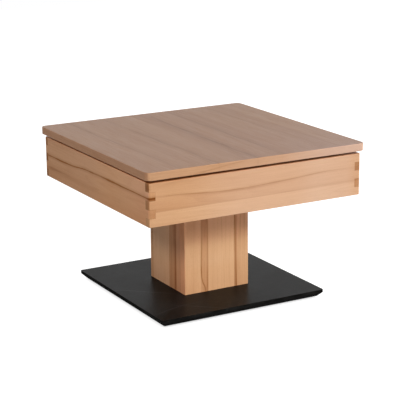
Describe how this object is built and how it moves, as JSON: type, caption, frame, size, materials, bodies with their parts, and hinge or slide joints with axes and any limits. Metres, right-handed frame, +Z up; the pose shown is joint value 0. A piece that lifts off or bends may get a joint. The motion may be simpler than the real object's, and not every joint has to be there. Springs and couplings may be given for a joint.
{
  "type": "coffee table",
  "caption": "Square height-adjustable coffee table: turning solid beech top over a finger-jointed storage box, on a square wooden lift column with a black slate base plate.",
  "frame": {"origin": "centre of the floor contact, at floor level", "axes": "+Z up out of the top, -Y towards the side with the release lever, +X to the right of it"},
  "size_m": [0.65, 0.65, 0.441],
  "materials": {
    "core_beech": "oiled core beech, visible heartwood streaks",
    "plain_beech": "planed, raw",
    "birch_ply": "oiled plywood",
    "black_panel": "black stained fibreboard",
    "slate": "black slate, honed",
    "black_plastic": "moulded",
    "rubber": "matt",
    "black_steel": "black powder coat",
    "spring_black": "black gloss",
    "zinc_steel": "zinc plated",
    "bright_steel": "ground",
    "aluminium": "milled"
  },
  "bodies": {
    "base": {"base_plate": "slate", "floor_glides": "black_plastic", "column_front_board": "core_beech", "column_right_board": "core_beech", "column_back_board": "core_beech", "column_left_board": "core_beech", "column_corner_blocks": "plain_beech", "column_cap": "black_panel", "cap_screws": "zinc_steel", "base_flange": "black_steel", "base_bolts": "zinc_steel", "guide_tube": "black_steel", "guide_bush": "black_plastic", "stop_buffer": "rubber", "gas_spring_cylinder": "spring_black", "gas_spring_rod_guide": "aluminium"},
    "lift": {"lift_tube": "black_steel", "lift_slider": "black_plastic", "mount_plate": "black_steel", "mount_gussets": "black_steel", "mount_screws": "zinc_steel", "release_head": "aluminium", "head_screws": "zinc_steel", "lever_pivot": "bright_steel", "gas_spring_rod": "bright_steel", "gas_spring_piston": "aluminium", "box_front_board": "core_beech", "box_right_board": "core_beech", "box_back_board": "core_beech", "box_left_board": "core_beech", "box_floor": "birch_ply", "bearing_rails": "plain_beech", "bearing_lower_plate": "zinc_steel", "lower_plate_screws": "zinc_steel"},
    "top": {"table_top": "core_beech", "bearing_upper_plate": "zinc_steel", "upper_plate_screws": "zinc_steel"},
    "ball_ring": {"bearing_balls": "bright_steel"},
    "lever": {"release_lever": "black_steel", "lever_grip": "black_plastic"},
    "valve_pin": {"release_pin": "bright_steel"}
  },
  "joints": [
    {"name": "lift_slide", "type": "slide", "parent": "base", "child": "lift", "axis": [0, 0, 1], "range_m": [0, 0.18]},
    {"name": "top_swivel", "type": "hinge", "parent": "lift", "child": "top", "pos_m": [0, 0, 0.416], "axis": [0, 0, 1], "continuous": true},
    {"name": "ball_orbit", "type": "hinge", "parent": "lift", "child": "ball_ring", "pos_m": [0, 0, 0.416], "axis": [0, 0, 1], "continuous": true},
    {"name": "lever_pull", "type": "hinge", "parent": "lift", "child": "lever", "pos_m": [0, -0.03, 0.313], "axis": [-1, 0, 0], "range_deg": [0, 3.8], "stiffness_Nm_per_rad": 6, "springref_deg": -2.86},
    {"name": "pin_press", "type": "slide", "parent": "lift", "child": "valve_pin", "axis": [0, 0, -1], "range_m": [0, 0.002]}
  ],
  "couplings": [
    {"joint": "ball_orbit", "follows": "top_swivel", "ratio": 0.5},
    {"joint": "pin_press", "follows": "lever_pull", "m_per_rad": 0.03}
  ]
}
